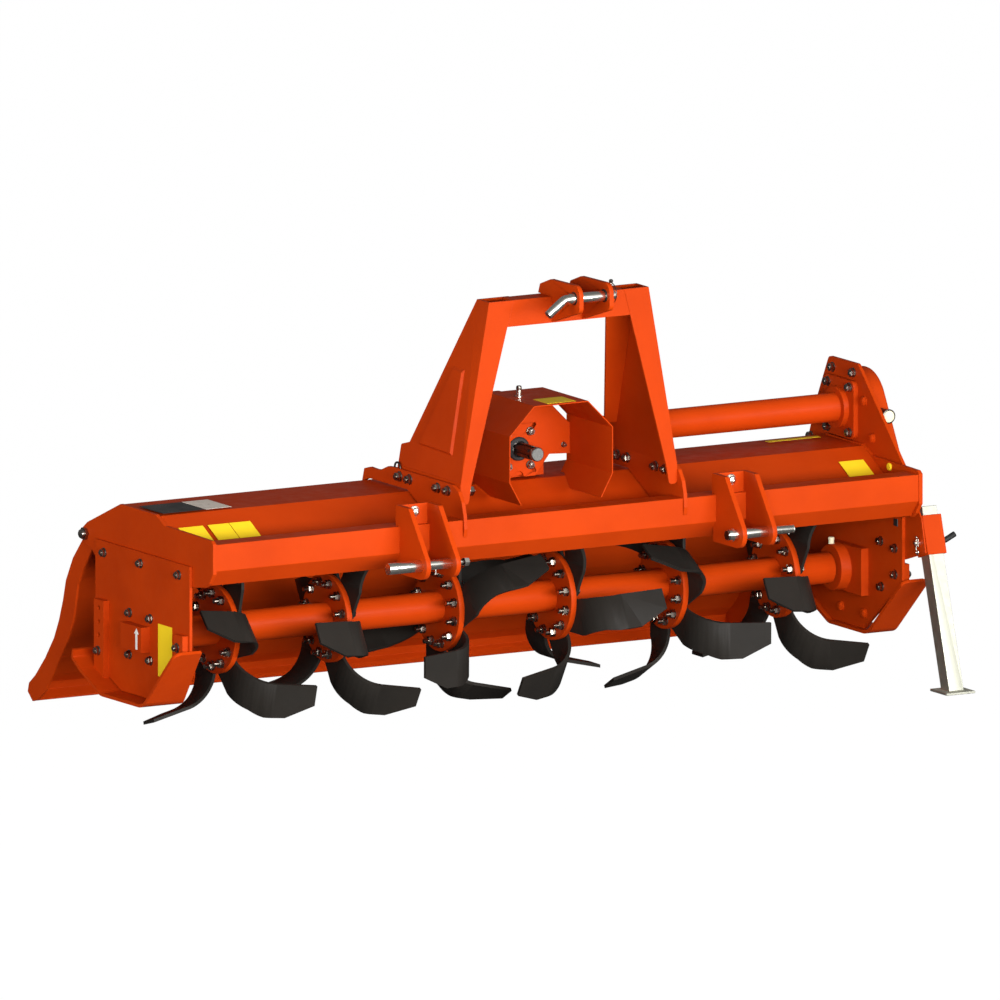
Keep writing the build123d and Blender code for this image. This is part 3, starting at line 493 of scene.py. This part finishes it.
# the black square on the drive plate's inner face is painted shade, standing for the darkness of a
# square hole there
square_y, square_z, square_half = -234, 141, 9
hole_shade_square = [(-square_half, -square_half), (square_half, -square_half),
          (square_half, square_half), (-square_half, square_half)]
plugs_and_hole_shade = Piece("plugs_and_hole_shade", "root", "orange_paint", cream, yellow, rubber, dark_steel)
plugs_and_hole_shade.turned(at(filler_x, filler_y, filler_z), FRONT, filler_spout, sides=28, look=3)
plugs_and_hole_shade.turned(at(filler_x, filler_y, filler_z), FRONT, filler_plug, sides=28)
plugs_and_hole_shade.turned(nipple_place, UP, nipple, sides=18)
plugs_and_hole_shade.turned(hole_place, LEFT, hole_plug, sides=24, look=1)
plugs_and_hole_shade.slab([at(right_face, square_y + y, square_z + z) for y, z in hole_shade_square], LEFT * 2, look=2, edge=1)
plugs_and_hole_shade.wire(arc(ring_place, REAR, UP, 13, 0, 345, 22), 2.6, look=3, closed=True)
plugs_and_hole_shade.done()

hood_roof = 312
hood_top_front, hood_low_front = Vector((0, -94, hood_roof)), Vector((0, -300, 202))
slope_out = Vector((0, -0.471, 0.882))
sticker = 0.5


def on_slope(x, down):
    """Point on the hood's front slope, `down` from its top edge as a share of the slope."""
    place = hood_top_front.lerp(hood_low_front, down)
    return at(x, place.y, place.z)


stickers = Piece("stickers", "root", "orange_paint", yellow, plate_dark, plate_pale)
upper, lower = 0.25, 0.62
for x, x_end in [(-976, -908), (-895, -837), (-835, -777), (857, 925)]:
    corners = [on_slope(x, upper), on_slope(x_end, upper), on_slope(x_end, lower), on_slope(x, lower)]
    stickers.slab(corners, slope_out * sticker)
for z, x, y, x_end, y_end, look in [
    (hood_roof, -985, 28, -868, -88, 1),
    (hood_roof, -866, 28, -795, -88, 2),
    (hood_roof, 770, 58, 915, 40, 0),
    (guard_roof, -32, -215, 48, -284, 0),
]:
    corners = [at(x, y, z), at(x, y_end, z), at(x_end, y_end, z), at(x_end, y, z)]
    stickers.slab(corners, UP * sticker, look=look)
side_sticker = [(-180, 50), (-113, 50), (-113, -78), (-180, -78)]
stickers.slab([at(left_face, y, z) for y, z in side_sticker], LEFT * sticker)
stickers.done()

# ---- floor, light and camera ----------------------------------------------------------
# the camera sees floor and backdrop as white, and the object gets plain studio light
floor_size, floor_grey, floor_white, floor_white_share, backdrop_white = 80, 0.12, 1.06, 0.94, 1.03
screen_strength, sky_strength = 2.6, 0.15

bpy.ops.mesh.primitive_plane_add(size=floor_size, location=(0, 0, 0))
floor = bpy.context.object
floor.name = "floor"
s = Shader("pale floor", Roughness=0.9)
s.surface.inputs["Base Color"].default_value = grey(floor_grey)
glow = s.add("ShaderNodeEmission")
blend = s.add("ShaderNodeMixShader")
path = s.add("ShaderNodeLightPath")
share = s.add("ShaderNodeMath", operation="MULTIPLY")
share.inputs[1].default_value = floor_white_share
glow.inputs["Strength"].default_value = floor_white
s.link(path.outputs["Is Camera Ray"], share.inputs[0])
s.link(share.outputs[0], blend.inputs["Fac"])
s.link(s.surface.outputs["BSDF"], blend.inputs[1])
s.link(glow.outputs["Emission"], blend.inputs[2])
s.link(blend.outputs["Shader"], s.tree.nodes["Material Output"].inputs["Surface"])
floor.data.materials.append(s.material)

world = bpy.data.worlds.new("studio")
bpy.context.scene.world = world
world.use_nodes = True
tree = world.node_tree
ambient = tree.nodes["Background"]
ambient.inputs["Color"].default_value = grey(1)
backdrop = tree.nodes.new("ShaderNodeBackground")
backdrop.inputs["Color"].default_value = grey(1)
backdrop.inputs["Strength"].default_value = backdrop_white
path = tree.nodes.new("ShaderNodeLightPath")
blend = tree.nodes.new("ShaderNodeMixShader")
tree.links.new(path.outputs["Is Camera Ray"], blend.inputs["Fac"])
tree.links.new(ambient.outputs[0], blend.inputs[1])
tree.links.new(backdrop.outputs[0], blend.inputs[2])
tree.links.new(blend.outputs[0], tree.nodes["World Output"].inputs["Surface"])


def sky(operation, first, second):
    """Sum on the sky's direction."""
    node = tree.nodes.new("ShaderNodeMath")
    node.operation = operation
    for socket, value in zip(node.inputs, (first, second)):
        if isinstance(value, (int, float)):
            socket.default_value = value
        else:
            tree.links.new(value, socket)
    return node.outputs[0]


# the studio is brightest low in front of the machine, like a wide white screen there
direction = tree.nodes.new("ShaderNodeSeparateXYZ")
tree.links.new(tree.nodes.new("ShaderNodeTexCoord").outputs["Generated"], direction.inputs[0])
ahead = sky("MAXIMUM", sky("MULTIPLY", direction.outputs["Y"], -1.0), 0.0)
low = sky("POWER", sky("SUBTRACT", 1.0, sky("MAXIMUM", direction.outputs["Z"], 0.0)), 2.0)
screen = sky("MULTIPLY", sky("MULTIPLY", ahead, low), screen_strength)
tree.links.new(sky("ADD", screen, sky_strength), ambient.inputs["Strength"])

lamp_target = Vector((0, 0, 0.4))
for name, place, width, height, watts in [
    ("key", Vector((-0.6, -7.0, 1.45)), 8.0, 1.6, 780),
    ("fill", Vector((-6.0, -1.0, 1.2)), 3.0, 2.0, 120),
]:
    lamp = bpy.data.lights.new(name, "AREA")
    lamp.shape = "RECTANGLE"
    lamp.size, lamp.size_y = width, height
    lamp.energy = watts
    holder = bpy.data.objects.new(name, lamp)
    bpy.context.collection.objects.link(holder)
    holder.location = place
    holder.visible_glossy = name == "key"  # plated parts mirror the key light alone
    holder.rotation_euler = (lamp_target - place).to_track_quat("-Z", "Y").to_euler()

view_turn, view_rise, view_width, view_distance = math.radians(-30), math.radians(10), 2.404, 8
aim = at(1, 0, 245)  # the middle of what the camera sees
back = Vector((math.sin(view_turn) * math.cos(view_rise),
               -math.cos(view_turn) * math.cos(view_rise),
               math.sin(view_rise)))
camera = bpy.data.objects.new("camera", bpy.data.cameras.new("camera"))
bpy.context.collection.objects.link(camera)
camera.data.type = "ORTHO"
camera.data.ortho_scale = view_width
camera.data.clip_end = 60
camera.location = aim + back * view_distance
camera.rotation_euler = (-back).to_track_quat("-Z", "Y").to_euler()
bpy.context.scene.camera = camera
bpy.context.scene.view_settings.view_transform = "Standard"
